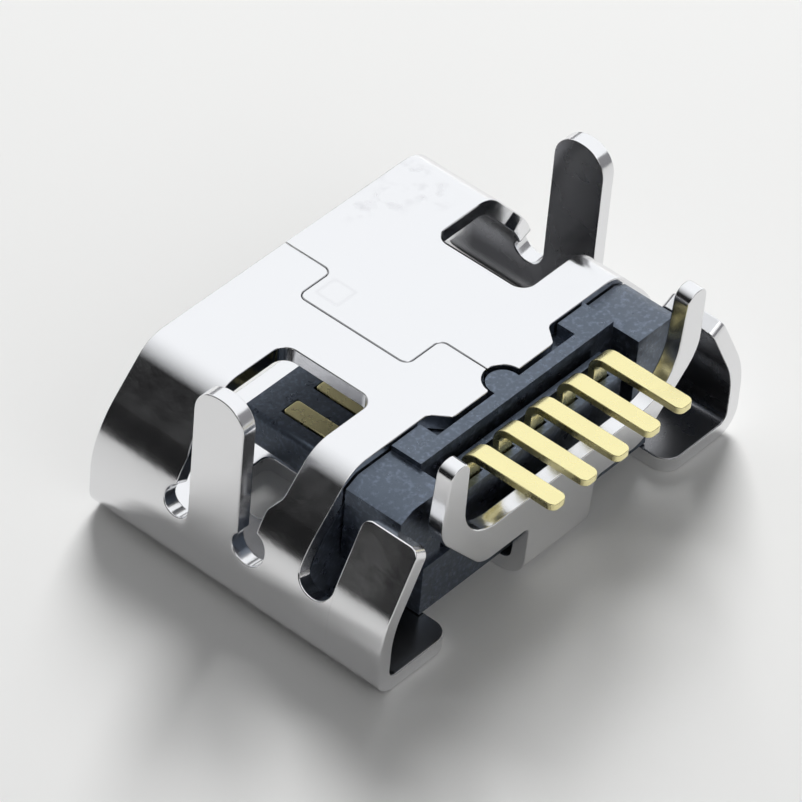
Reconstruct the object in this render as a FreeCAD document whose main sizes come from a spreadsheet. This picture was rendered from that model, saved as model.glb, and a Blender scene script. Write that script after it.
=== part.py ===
import FreeCAD, Part
import math
import os
import Sketcher

# Micro-B board socket with four through-board legs, modelled as it lies on its wide plate.
# X runs across the mouth, Y from the mouth to the solder tails, Z from the wide plate
# to the narrow plate that faces the board. Lengths are millimetres, angles degrees.

SIZES = {
    # outer section of the folded shell
    "shell_width": 7.50,
    "shell_height": 2.45,
    "sheet_thickness": 0.25,
    "wall_height": 0.717,
    "flank_radius": 1.54,
    "slope_angle": 47.5,
    "shoulder_radius": 0.66,
    "corner_radius": 0.40,
    # depth of the closed tube and of the narrow plate behind it
    "tube_depth": 3.59,
    "plate_overhang": 0.27,
    "plate_tail_width": 2.04,
    "plate_step_width": 0.22,
    "key_notch_radius": 0.30,
    # puzzle seam that closes the narrow plate
    "seam_gap": 0.03,
    "seam_first_run": 0.84,
    "seam_middle_run": 1.92,
    "seam_offset": 0.69,
    "seam_corner_radius": 0.12,
    # windows in the narrow plate, inner edge measured from the side of the shell
    "window_reach": 2.23,
    "window_front": 1.34,
    "window_corner_radius": 0.22,
    "window_rise": 0.17,
    # slits beside the front legs and the round reliefs at their ends
    "slit_rise": 0.96,
    "front_slit_inset": 0.06,
    "front_slit_width": 0.33,
    "rear_slit_width": 0.20,
    "rear_slit_inset": 0.13,
    "relief_rise": 0.41,
    "front_relief_radius": 0.23,
    "rear_relief_radius": 0.255,
    "rear_relief_shift": 0.17,
    # cut-outs in the wide plate for the hooks of the plug
    "latch_reach": 1.80,
    "latch_width": 1.00,
    "latch_front": 1.15,
    "latch_length": 0.80,
    "latch_corner_radius": 0.12,
    # front legs, flat blades cut from the side walls
    "leg_width": 0.86,
    "leg_root_depth": 0.117,
    "leg_reach": 0.95,
    "leg_tip_flat": 0.04,
    # rear wings
    "wing_slot_width": 0.58,
    "wing_slot_rise": 0.29,
    "wing_length": 0.93,
    "wing_turn": 28.0,
    "wing_straight": 0.95,
    "wing_corner_radius": 0.15,
    "wing_foot_reach": 1.50,
    "wing_foot_radius": 0.28,
    # neck that carries the rear flap
    "foot_relief_length": 0.75,
    "foot_relief_radius": 0.20,
    "neck_width": 1.36,
    "neck_setback": 0.49,
    "neck_bend_radius": 0.40,
    "flap_lean": 2.0,
    # rear flap with its two upturned pins
    "flap_bottom": 1.02,
    "flap_web": 0.63,
    "flap_foot_radius": 0.45,
    "horn_slope": 47.5,
    "horn_radius": 0.70,
    "horn_rise": 1.36,
    "flap_valley_radius": 0.78,
    "pin_side_gap": 1.09,
    "pin_width": 0.38,
    "pin_taper": 0.06,
    "pin_reach": 0.85,
    # core, rim and key of the moulded housing
    "fit_clearance": 0.02,
    "core_length": 0.64,
    "ridge_gap": 0.05,
    "ridge_length": 0.21,
    "ridge_drop": 0.05,
    "ridge_side_gap": 0.16,
    "key_radius": 0.25,
    # ears at both ends of the rim, outer edges measured from the side of the shell
    "ear_gap": 0.52,
    "ear_flat_reach": 1.13,
    "ear_side_reach": 0.90,
    "ear_drop": 0.14,
    "ear_bevel_drop": 0.11,
    "ear_floor_rise": 0.283,
    "ear_overhang": 0.44,
    # low block behind the core and the comb that holds the contacts
    "base_reach": 1.40,
    "base_height": 1.10,
    "comb_gap": 0.08,
    "comb_thickness": 0.10,
    "comb_margin": 0.15,
    "comb_drop": 0.30,
    "block_drop": 0.45,
    # tongue
    "tongue_front": 0.90,
    "tongue_width": 3.50,
    "tongue_underside": 0.60,
    "tongue_thickness": 0.58,
    "tongue_nose_radius": 0.10,
    # contacts
    "contact_pitch": 0.65,
    "contact_width": 0.30,
    "contact_thickness": 0.12,
    "contact_front": 1.35,
    "contact_level": 1.20,
    "contact_gap": 0.06,
    "contact_bend_radius": 0.25,
    "tail_rise": 0.05,
    "tail_length": 1.56,
    "tail_corner_radius": 0.11,
}

CONTACT_NAMES = ("contact_vbus", "contact_d_minus", "contact_d_plus", "contact_id", "contact_gnd")

FULL_CUT = 10.0
SMALL = 1e-6


class Size:
    """A length together with the sheet expression that it follows."""

    def __init__(self, value, text):
        self.value = value
        self.text = text

    def __add__(self, other):
        other = as_size(other)
        return Size(self.value + other.value, "(%s + %s)" % (self.text, other.text))

    def __sub__(self, other):
        other = as_size(other)
        return Size(self.value - other.value, "(%s - %s)" % (self.text, other.text))

    def __mul__(self, other):
        other = as_size(other)
        return Size(self.value * other.value, "(%s * %s)" % (self.text, other.text))

    def __truediv__(self, other):
        other = as_size(other)
        return Size(self.value / other.value, "(%s / %s)" % (self.text, other.text))

    def __neg__(self):
        return self * -1


def as_size(number):
    if isinstance(number, Size):
        return number
    return Size(float(number), "(%s)" % number)


def cell(name):
    return Size(SIZES[name], "Sizes." + name)


def sine(angle):
    return Size(math.sin(math.radians(angle.value)), "sin(%s)" % angle.text)


def cosine(angle):
    return Size(math.cos(math.radians(angle.value)), "cos(%s)" % angle.text)


def make_sheet(doc):
    sheet = doc.addObject("Spreadsheet::Sheet", "Sizes")
    for row, (name, value) in enumerate(SIZES.items(), start=1):
        sheet.set("A%d" % row, name)
        sheet.set("B%d" % row, str(value))
        sheet.setAlias("B%d" % row, name)
    doc.recompute()


def origin_plane(body, role):
    for feature in body.Origin.OriginFeatures:
        if feature.Role == role:
            return feature
    raise RuntimeError("no plane " + role)


def new_body(doc, label):
    body = doc.addObject("PartDesign::Body", label)
    body.Label = label
    return body


def new_sketch(body, name, role, height=None):
    """Sketch on an origin plane of its own body, moved along the plane's normal."""
    sketch = body.newObject("Sketcher::SketchObject", name)
    sketch.AttachmentSupport = [(origin_plane(body, role), "")]
    sketch.MapMode = "FlatFace"
    if height is not None:
        sketch.AttachmentOffset = FreeCAD.Placement(FreeCAD.Vector(0, 0, height.value), FreeCAD.Rotation())
        sketch.setExpression("AttachmentOffset.Base.z", height.text)
    return sketch


def pin_coordinate(sketch, kind, edge, end, coordinate):
    """Tie one coordinate of a point to the sheet."""
    index = sketch.addConstraint(
        Sketcher.Constraint(kind, -1, 1, edge, end, coordinate.value))
    sketch.setExpression("Constraints[%d]" % index, coordinate.text)


def pin_point(sketch, edge, end, point):
    pin_coordinate(sketch, "DistanceX", edge, end, point[0])
    pin_coordinate(sketch, "DistanceY", edge, end, point[1])


def pin_radius(sketch, edge, radius):
    index = sketch.addConstraint(Sketcher.Constraint("Radius", edge, radius.value))
    sketch.setExpression("Constraints[%d]" % index, radius.text)


def arc_edge(start, end, radius, turn):
    """Circular edge from start to end. turn is +1 for anticlockwise, -1 for clockwise."""
    first, last = (start, end) if turn > 0 else (end, start)
    chord = last - first
    rise = math.sqrt(max(radius ** 2 - (chord.Length / 2) ** 2, 0.0))
    side = FreeCAD.Vector(-chord.y, chord.x, 0).normalize()
    centre = (first + last) / 2 + side * rise
    circle = Part.Circle(centre, FreeCAD.Vector(0, 0, 1), radius)
    from_angle = math.atan2(first.y - centre.y, first.x - centre.x)
    to_angle = math.atan2(last.y - centre.y, last.x - centre.x)
    if to_angle < from_angle:
        to_angle += 2 * math.pi
    return Part.ArcOfCircle(circle, from_angle, to_angle)


def draw_outline(sketch, nodes):
    """Closed outline. Each node is (x, y) before a straight edge, or (x, y, radius, turn)
    before a round one. Every node and radius is tied to the sheet."""
    count = len(nodes)
    ends = []
    for number, node in enumerate(nodes):
        following = nodes[(number + 1) % count]
        start = FreeCAD.Vector(node[0].value, node[1].value, 0)
        end = FreeCAD.Vector(following[0].value, following[1].value, 0)
        if len(node) == 2:
            edge = sketch.addGeometry(Part.LineSegment(start, end), False)
            ends.append((edge, 1, 2))
        else:
            edge = sketch.addGeometry(arc_edge(start, end, node[2].value, node[3]), False)
            ends.append((edge, 1, 2) if node[3] > 0 else (edge, 2, 1))
    for number, (edge, first, last) in enumerate(ends):
        next_edge, next_first, next_last = ends[(number + 1) % count]
        sketch.addConstraint(Sketcher.Constraint("Coincident", edge, last, next_edge, next_first))
    for node, (edge, first, last) in zip(nodes, ends):
        pin_point(sketch, edge, first, node)
        if len(node) == 4:
            pin_radius(sketch, edge, node[2])


def draw_circle(sketch, centre, radius):
    middle = FreeCAD.Vector(centre[0].value, centre[1].value, 0)
    edge = sketch.addGeometry(Part.Circle(middle, FreeCAD.Vector(0, 0, 1), radius.value), False)
    pin_point(sketch, edge, 3, centre)
    pin_radius(sketch, edge, radius)


def square_outline(corners):
    """Nodes of an outline whose edges follow the axes. Each corner is (x, y, radius or None)."""
    nodes = []
    count = len(corners)
    for number, (x, y, radius) in enumerate(corners):
        if radius is None:
            nodes.append((x, y))
            continue
        before = corners[number - 1]
        after = corners[(number + 1) % count]
        way_in = unit_step(before, (x, y))
        way_out = unit_step((x, y), after)
        turn = 1 if way_in[0] * way_out[1] - way_in[1] * way_out[0] > 0 else -1
        nodes.append((x - radius * way_in[0], y - radius * way_in[1], radius, turn))
        nodes.append((x + radius * way_out[0], y + radius * way_out[1]))
    return nodes


def unit_step(start, end):
    along_x = end[0].value - start[0].value
    along_y = end[1].value - start[1].value
    if abs(along_x) > abs(along_y):
        return (int(math.copysign(1, along_x)), 0)
    return (0, int(math.copysign(1, along_y)))


def mirrored(nodes):
    """The same outline on the other side of X = 0, kept anticlockwise."""
    flipped = []
    count = len(nodes)
    for number in range(count - 1, -1, -1):
        node = nodes[number]
        edge = nodes[number - 1]
        if len(edge) == 4:
            flipped.append((-node[0], node[1], edge[2], edge[3]))
        else:
            flipped.append((-node[0], node[1]))
    return flipped


def add_pad(body, name, sketch, length, backwards=False, both_ways=False):
    pad = body.newObject("PartDesign::Pad", name)
    pad.Profile = sketch
    pad.Length = length.value
    pad.setExpression("Length", length.text)
    pad.Reversed = backwards
    pad.Midplane = both_ways
    return pad


def add_pocket(doc, body, name, sketch, length, backwards=False, both_ways=False):
    """Pocket that has to take something away."""
    doc.recompute()
    before = body.Shape.Volume
    pocket = body.newObject("PartDesign::Pocket", name)
    pocket.Profile = sketch
    pocket.Length = length.value
    pocket.setExpression("Length", length.text)
    pocket.Reversed = backwards
    pocket.Midplane = both_ways
    doc.recompute()
    if body.Shape.Volume > before - SMALL:
        raise RuntimeError(name + " cuts nothing")
    return pocket


def round_edges(doc, body, name, radius, wanted):
    """Fillet on the edges of the body's tip that wanted picks."""
    doc.recompute()
    base = body.Tip
    names = ["Edge%d" % (number + 1) for number, edge in enumerate(base.Shape.Edges) if wanted(edge)]
    if not names:
        raise RuntimeError(name + " finds no edge")
    fillet = body.newObject("PartDesign::Fillet", name)
    fillet.Base = (base, names)
    fillet.Radius = radius.value
    fillet.setExpression("Radius", radius.text)
    doc.recompute()
    return fillet


def upright_edge_at(edge, x, y):
    """True for an edge along Z that stands at (x, y)."""
    box = edge.BoundBox
    return (box.XLength < SMALL and box.YLength < SMALL and box.ZLength > SMALL
            and abs(box.XMin - x) < 1e-4 and abs(box.YMin - y) < 1e-4)


def half_width():
    return cell("shell_width") / 2


def window_inner():
    return half_width() - cell("window_reach")


def slit_top():
    return cell("wall_height") + cell("slit_rise")


def leg_front():
    return cell("window_front") + cell("front_slit_inset") + cell("front_slit_width")


def leg_rear():
    return leg_front() + cell("leg_width")


def plate_rear():
    return cell("tube_depth") + cell("plate_overhang")


def wing_end():
    return cell("tube_depth") + cell("wing_slot_width") + cell("wing_length")


def neck_bend_start():
    return wing_end() - cell("neck_setback")


def ridge_rear():
    return plate_rear() + cell("ridge_gap") + cell("ridge_length")


def comb_front():
    return ridge_rear() + cell("comb_gap")


def riser_front():
    return comb_front() + cell("comb_thickness") + cell("contact_gap")


def tail_end():
    return riser_front() + cell("tail_length")


def under_plate():
    """Level just below the inner face of the narrow plate."""
    return cell("shell_height") - cell("sheet_thickness") - cell("fit_clearance")


def over_plate():
    """Level just above the inner face of the wide plate."""
    return cell("sheet_thickness") + cell("fit_clearance")


def flank_centre():
    """Centre of the round flank above the upright side wall."""
    return half_width() - cell("flank_radius"), cell("wall_height")


def shoulder_centre():
    """Centre of the shoulder, where the slope from the flank meets the narrow plate."""
    angle = cell("slope_angle")
    flank = cell("flank_radius")
    shoulder = cell("shoulder_radius")
    flank_x, flank_z = flank_centre()
    z = cell("shell_height") - shoulder
    drop = z + cosine(angle) * shoulder - flank_z - cosine(angle) * flank
    run = drop * cosine(angle) / sine(angle)
    return flank_x + sine(angle) * (flank - shoulder) - run, z


def tube_outline(inset):
    """Closed section of the shell, drawn a distance inside its outer face."""
    angle = cell("slope_angle")
    half = half_width()
    height = cell("shell_height")
    corner = cell("corner_radius")
    flank_x, flank_z = flank_centre()
    shoulder_x, shoulder_z = shoulder_centre()
    shoulder_in = cell("shoulder_radius") - inset
    flank_in = cell("flank_radius") - inset
    corner_in = corner - inset
    right = [
        (half - corner, inset, corner_in, 1),
        (half - inset, corner),
        (half - inset, flank_z, flank_in, 1),
        (flank_x + sine(angle) * flank_in, flank_z + cosine(angle) * flank_in),
        (shoulder_x + sine(angle) * shoulder_in, shoulder_z + cosine(angle) * shoulder_in, shoulder_in, 1),
        (shoulder_x, height - inset),
    ]
    return right + mirrored(right)


def cradle_outline():
    """Open section behind the tube: the wide plate with a wing at each side."""
    half = half_width()
    thickness = cell("sheet_thickness")
    corner = cell("corner_radius")
    flank = cell("flank_radius")
    turn = cell("wing_turn")
    flank_x, flank_z = flank_centre()
    flank_in = flank - thickness
    corner_in = corner - thickness
    tip_x = flank_x + cosine(turn) * flank - sine(turn) * cell("wing_straight")
    tip_z = flank_z + sine(turn) * flank + cosine(turn) * cell("wing_straight")
    tip_in_x = tip_x - cosine(turn) * thickness
    tip_in_z = tip_z - sine(turn) * thickness
    right = [
        (half - corner, thickness * 0, corner, 1),
        (half, corner),
        (half, flank_z, flank, 1),
        (flank_x + cosine(turn) * flank, flank_z + sine(turn) * flank),
        (tip_x, tip_z),
        (tip_in_x, tip_in_z),
        (flank_x + cosine(turn) * flank_in, flank_z + sine(turn) * flank_in, flank_in, -1),
        (half - thickness, flank_z),
        (half - thickness, corner, corner_in, -1),
        (half - corner, thickness),
    ]
    return right + mirrored(right)


def build_tube(doc, body):
    section = new_sketch(body, "TubeSection", "XZ_Plane")
    draw_outline(section, tube_outline(as_size(0)))
    draw_outline(section, tube_outline(cell("sheet_thickness")))
    add_pad(body, "Tube", section, cell("tube_depth"), backwards=True)


def build_cradle(doc, body):
    """Wide plate and wings, carried on behind the tube."""
    start = cell("tube_depth")
    section = new_sketch(body, "CradleSection", "XZ_Plane", -start)
    draw_outline(section, cradle_outline())
    add_pad(body, "Cradle", section, wing_end() - start, backwards=True)
    slot = new_sketch(body, "WingSlotOutline", "YZ_Plane")
    radius = cell("wing_slot_width") / 2
    wing_start = start + cell("wing_slot_width")
    floor = cell("wall_height") + cell("wing_slot_rise")
    top = cell("shell_height") + cell("leg_reach")
    draw_outline(slot, [
        (start, floor + radius, radius, 1),
        (start + radius, floor, radius, 1),
        (wing_start, floor + radius),
        (wing_start, top),
        (start, top),
    ])
    add_pocket(doc, body, "WingSlots", slot, as_size(FULL_CUT), both_ways=True)
    foot = new_sketch(body, "FootReliefOutline", "XY_Plane")
    inner = cell("neck_width") / 2
    outer = half_width() - cell("wing_foot_reach")
    front = wing_end() - cell("foot_relief_length")
    rear = wing_end() + cell("sheet_thickness")
    for side in (1, -1):
        draw_outline(foot, square_outline([
            (inner * side, front, cell("foot_relief_radius")),
            (outer * side, front, cell("foot_relief_radius")),
            (outer * side, rear, None),
            (inner * side, rear, None),
        ]))
    add_pocket(doc, body, "FootReliefs", foot, cell("corner_radius"), backwards=True)
    round_edges(doc, body, "FootCorners", cell("wing_foot_radius"), lambda edge: any(
        upright_edge_at(edge, outer.value * side, wing_end().value) for side in (1, -1)))
    round_edges(doc, body, "WingCorners", cell("wing_corner_radius"), wing_tip_edge)


def wing_tip_edge(edge):
    """True for a short edge that runs through the sheet at the upper end of a wing."""
    middle = edge.BoundBox.Center
    across = abs(edge.Length - cell("sheet_thickness").value) < 1e-4
    return across and edge.BoundBox.YLength < SMALL and middle.z > slit_top().value


def build_plate_tail(doc, body):
    """Middle of the narrow plate, which reaches further back, with the notch for the key."""
    thickness = cell("sheet_thickness")
    level = cell("shell_height") - thickness
    plan = new_sketch(body, "PlateTailOutline", "XY_Plane", level)
    half = cell("plate_tail_width") / 2
    wide = half + cell("plate_step_width")
    front = cell("tube_depth") - thickness
    right = [
        (wide, front),
        (wide, cell("tube_depth")),
        (half, plate_rear()),
    ]
    draw_outline(plan, right + mirrored(right))
    add_pad(body, "PlateTail", plan, thickness)
    hole = new_sketch(body, "KeyNotchOutline", "XY_Plane", level)
    draw_circle(hole, (as_size(0), plate_rear()), cell("key_notch_radius"))
    add_pocket(doc, body, "KeyNotch", hole, thickness, backwards=True)


def build_windows(doc, body):
    """Openings that the front legs leave in the narrow plate and the side walls."""
    top = cell("shell_height") + cell("leg_reach")
    drop = slit_top() + cell("window_rise")
    relief = cell("wall_height") + cell("relief_rise")
    front = cell("window_front")
    slit_front = front + cell("front_slit_inset")
    slit_rear = leg_rear() + cell("rear_slit_width")
    rear = slit_rear + cell("rear_slit_inset")
    for name, side in (("Left", 1), ("Right", -1)):
        outline = new_sketch(body, name + "WindowOutline", "YZ_Plane", window_inner() * side)
        draw_outline(outline, [
            (front, top),
            (front, drop),
            (slit_front, slit_top()),
            (slit_front, relief),
            (slit_rear, relief),
            (slit_rear, slit_top()),
            (rear, drop),
            (rear, top),
        ])
        add_pocket(doc, body, name + "Window", outline, as_size(FULL_CUT), backwards=side > 0)
    places = [(side * window_inner().value, depth.value) for side in (1, -1) for depth in (front, rear)]
    round_edges(doc, body, "WindowCorners", cell("window_corner_radius"), lambda edge: any(
        upright_edge_at(edge, x, y) for x, y in places))


def build_latch_openings(doc, body):
    """Two openings in the wide plate that take the hooks of the plug."""
    plan = new_sketch(body, "LatchOutline", "XY_Plane")
    front = cell("latch_front")
    rear = front + cell("latch_length")
    radius = cell("latch_corner_radius")
    half = cell("latch_width") / 2
    for side in (1, -1):
        middle = (half_width() - cell("latch_reach")) * side
        draw_outline(plan, square_outline([
            (middle - half, front, radius),
            (middle + half, front, radius),
            (middle + half, rear, radius),
            (middle - half, rear, radius),
        ]))
    add_pocket(doc, body, "LatchOpenings", plan, cell("corner_radius"), backwards=True)


def build_front_legs(doc, body):
    """Blades that stand straight up from the side walls, with round reliefs at their roots."""
    thickness = cell("sheet_thickness")
    root = cell("wall_height") - cell("leg_root_depth")
    height = cell("shell_height") + cell("leg_reach")
    tip = (cell("leg_width") - cell("leg_tip_flat")) / 2
    level = cell("wall_height") + cell("relief_rise")
    front_radius = cell("front_relief_radius")
    for name, side in (("Left", 1), ("Right", -1)):
        plane_x = half_width() - thickness if side > 0 else -half_width()
        blade = new_sketch(body, name + "LegOutline", "YZ_Plane", plane_x)
        draw_outline(blade, square_outline([
            (leg_front(), root, None),
            (leg_rear(), root, None),
            (leg_rear(), height, tip),
            (leg_front(), height, tip),
        ]))
        add_pad(body, name + "Leg", blade, thickness)
        reliefs = new_sketch(body, name + "ReliefOutline", "YZ_Plane", window_inner() * side)
        draw_circle(reliefs, (leg_front() - front_radius, level), front_radius)
        draw_circle(reliefs, (leg_rear() + cell("rear_relief_shift"), level), cell("rear_relief_radius"))
        add_pocket(doc, body, name + "Reliefs", reliefs, as_size(FULL_CUT), backwards=side > 0)


def flap_outline():
    """Right half of the flap, from the neck over the pin to the middle of the upper edge."""
    bottom = cell("flap_bottom")
    web_top = bottom + cell("flap_web")
    height = cell("shell_height") + cell("pin_reach")
    foot = cell("flap_foot_radius")
    slope = cell("horn_slope")
    horn = cell("horn_radius")
    valley = cell("flap_valley_radius")
    round_tip = cell("pin_width") / 2
    outer = half_width() - cell("pin_side_gap")
    tip_outer = outer - cell("pin_taper")
    tip_inner = tip_outer - cell("pin_width")
    inner = tip_inner - cell("pin_taper")
    horn_z = bottom + cell("horn_rise")
    slope_x = outer - horn + sine(slope) * horn
    slope_z = horn_z - cosine(slope) * horn
    foot_z = bottom + foot - cosine(slope) * foot
    foot_x = slope_x - (slope_z - foot_z) * cosine(slope) / sine(slope)
    return [
        (cell("neck_width") / 2, bottom),
        (foot_x - sine(slope) * foot, bottom, foot, 1),
        (foot_x, foot_z),
        (slope_x, slope_z, horn, 1),
        (outer, horn_z),
        (tip_outer, height - round_tip, round_tip, 1),
        (tip_outer - round_tip, height, round_tip, 1),
        (tip_inner, height - round_tip),
        (inner, web_top + valley, valley, -1),
        (inner - valley, web_top),
    ]


def build_flap(doc, body):
    """Neck of the rear flap, and the flap with its two pins, which leans back a little."""
    thickness = cell("sheet_thickness")
    bend = cell("neck_bend_radius")
    tight = bend - thickness
    lean = cell("flap_lean")
    start = neck_bend_start()
    rear_y = start + cosine(lean) * bend
    rear_z = bend - sine(lean) * bend
    front_y = start + cosine(lean) * tight
    front_z = bend - sine(lean) * tight
    length = cell("flap_bottom") + cell("flap_web") / 2 - bend
    neck = new_sketch(body, "NeckSection", "YZ_Plane")
    neck_front = wing_end() - cell("foot_relief_length") - thickness
    draw_outline(neck, [
        (neck_front, thickness * 0),
        (start, thickness * 0, bend, 1),
        (rear_y, rear_z),
        (rear_y + sine(lean) * length, rear_z + cosine(lean) * length),
        (front_y + sine(lean) * length, front_z + cosine(lean) * length),
        (front_y, front_z, tight, -1),
        (start, thickness),
        (neck_front, thickness),
    ])
    add_pad(body, "Neck", neck, cell("neck_width"), both_ways=True)
    plane_y = front_y - front_z * sine(lean) / cosine(lean)
    flap = new_sketch(body, "FlapOutline", "XZ_Plane")
    leaning = FreeCAD.Rotation(FreeCAD.Vector(-1, 0, 0), lean.value)
    flap.AttachmentOffset = FreeCAD.Placement(FreeCAD.Vector(0, 0, -plane_y.value), leaning)
    flap.setExpression("AttachmentOffset.Base.z", (-plane_y).text)
    flap.setExpression("AttachmentOffset.Rotation.Angle", lean.text)
    right = flap_outline()
    draw_outline(flap, right + mirrored(right))
    add_pad(body, "Flap", flap, thickness, backwards=True)


def seam_side(shift):
    """One side of the puzzle seam, from the mouth to the rear. shift is +1 or -1."""
    gap = cell("seam_gap") / 2 * shift
    radius = cell("seam_corner_radius")
    tight = radius - gap
    wide = radius + gap
    first = cell("seam_first_run") - gap
    second = cell("seam_first_run") + cell("seam_middle_run") + gap
    offset = cell("seam_offset") + gap
    return [
        (gap, -cell("sheet_thickness"), None),
        (gap, first, tight),
        (offset, first, wide),
        (offset, second, wide),
        (gap, second, tight),
        (gap, plate_rear(), None),
    ]


def build_seam(doc, body):
    """Narrow gap where the two edges of the folded sheet meet."""
    plan = new_sketch(body, "SeamOutline", "XY_Plane", cell("shell_height") - cell("corner_radius"))
    draw_outline(plan, square_outline(seam_side(1) + seam_side(-1)[::-1]))
    add_pocket(doc, body, "Seam", plan, cell("shell_height"), backwards=True)


def build_shell(doc):
    body = new_body(doc, "shell")
    build_tube(doc, body)
    build_windows(doc, body)
    build_latch_openings(doc, body)
    build_front_legs(doc, body)
    build_cradle(doc, body)
    build_plate_tail(doc, body)
    build_seam(doc, body)
    build_flap(doc, body)
    return body


def build_core(doc, body):
    """Block that fills the rear of the tube, and the wall that carries the rim behind it."""
    start = cell("tube_depth") - cell("core_length")
    section = new_sketch(body, "CoreSection", "XZ_Plane", -start)
    draw_outline(section, tube_outline(cell("sheet_thickness") + cell("fit_clearance")))
    add_pad(body, "Core", section, cell("core_length"), backwards=True)
    wall_start = cell("tube_depth") - cell("sheet_thickness")
    wall = new_sketch(body, "WallSection", "XZ_Plane", -wall_start)
    draw_box(wall, -ear_inner(), ear_inner(), over_plate(), under_plate())
    add_pad(body, "Wall", wall, ridge_rear() - wall_start, backwards=True)


def build_tongue(doc, body):
    half = cell("tongue_width") / 2
    nose = cell("tongue_nose_radius")
    low = cell("tongue_underside")
    high = low + cell("tongue_thickness")
    start = cell("tongue_front")
    section = new_sketch(body, "TongueSection", "XZ_Plane", -start)
    draw_outline(section, square_outline([
        (-half, low, nose),
        (half, low, nose),
        (half, high, nose),
        (-half, high, nose),
    ]))
    end = cell("tube_depth") - cell("core_length") + cell("sheet_thickness")
    add_pad(body, "Tongue", section, end - start, backwards=True)


def build_ridge(doc, body):
    """Raised rim behind the narrow plate, with the half-round key that enters its notch."""
    side = ear_inner()
    half = cell("plate_tail_width") / 2
    wide = half + cell("plate_step_width") + cell("ridge_side_gap")
    front = cell("tube_depth") + cell("fit_clearance")
    middle = plate_rear() + cell("ridge_gap")
    bottom = under_plate() - cell("sheet_thickness")
    key = cell("key_radius")
    plan = new_sketch(body, "RidgeOutline", "XY_Plane", bottom)
    draw_outline(plan, [
        (-side, front),
        (-wide, front),
        (-wide, middle),
        (-key, middle),
        (-key, plate_rear(), key, 1),
        (key * 0, plate_rear() - key, key, 1),
        (key, plate_rear()),
        (key, middle),
        (wide, middle),
        (wide, front),
        (side, front),
        (side, ridge_rear()),
        (-side, ridge_rear()),
    ])
    add_pad(body, "Ridge", plan, cell("shell_height") - cell("ridge_drop") - bottom)


def build_ears(doc, body):
    """Blocks at both ends of the rim."""
    front = cell("tube_depth") + cell("fit_clearance")
    section = new_sketch(body, "EarSection", "XZ_Plane", -front)
    top = cell("shell_height") - cell("ear_drop")
    floor = cell("wall_height") + cell("ear_floor_rise")
    outer = half_width() - cell("ear_side_reach")
    ear = [
        (ear_inner(), floor),
        (outer, floor),
        (outer, top - cell("ear_bevel_drop")),
        (half_width() - cell("ear_flat_reach"), top),
        (ear_inner(), top),
    ]
    draw_outline(section, ear)
    draw_outline(section, mirrored(ear))
    add_pad(body, "Ears", section, ridge_rear() + cell("ear_overhang") - front, backwards=True)


def build_base(doc, body):
    """Low block behind the core, and the comb around the contact risers."""
    overlap = cell("sheet_thickness")
    start = cell("tube_depth") - overlap
    half = half_width() - cell("base_reach")
    section = new_sketch(body, "BaseSection", "XZ_Plane", -start)
    draw_box(section, -half, half, over_plate(), cell("base_height"))
    add_pad(body, "Base", section, neck_bend_start() - start, backwards=True)
    low = cell("base_height") - overlap
    wide = contact_place(0) + cell("contact_width") / 2 + cell("comb_margin")
    comb = new_sketch(body, "CombSection", "XZ_Plane", -comb_front())
    draw_box(comb, -wide, wide, low, cell("shell_height") - cell("comb_drop"))
    add_pad(body, "Comb", comb, cell("comb_thickness"), backwards=True)
    block = new_sketch(body, "BlockSection", "XZ_Plane", -comb_front())
    draw_box(block, -wide, wide, low, cell("shell_height") - cell("block_drop"))
    add_pad(body, "Block", block, neck_bend_start() - comb_front(), backwards=True)


def ear_inner():
    """Inner side of the ears, clear of the outermost contacts."""
    return contact_place(0) + cell("contact_width") / 2 + cell("ear_gap")


def draw_box(sketch, left, right, bottom, top):
    draw_outline(sketch, [(left, bottom), (right, bottom), (right, top), (left, top)])


def contact_place(number):
    return cell("contact_pitch") * (2 - number)


def cut_contact_channels(doc, body, name, start, end, top):
    """Channels of the five contacts between two depths."""
    clearance = cell("fit_clearance")
    half = cell("contact_width") / 2 + clearance
    low = cell("contact_level") - cell("contact_thickness") - clearance
    section = new_sketch(body, name + "Section", "XZ_Plane", -start)
    for number in range(len(CONTACT_NAMES)):
        x = contact_place(number)
        draw_box(section, x - half, x + half, low, top)
    add_pocket(doc, body, name, section, end - start)


def build_housing(doc):
    body = new_body(doc, "housing")
    build_core(doc, body)
    build_tongue(doc, body)
    build_ridge(doc, body)
    build_ears(doc, body)
    build_base(doc, body)
    clearance = cell("fit_clearance")
    level = cell("contact_level")
    riser_rear = riser_front() + cell("contact_thickness") + clearance
    cut_contact_channels(doc, body, "ContactChannels", cell("contact_front") - clearance,
                         riser_rear, level + clearance)
    cut_contact_channels(doc, body, "BendRoom", riser_front() - cell("contact_bend_radius"),
                         riser_rear, level + cell("contact_bend_radius"))
    cut_contact_channels(doc, body, "RiserSlots", riser_front() - clearance, riser_rear, cell("shell_height"))
    return body


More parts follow.
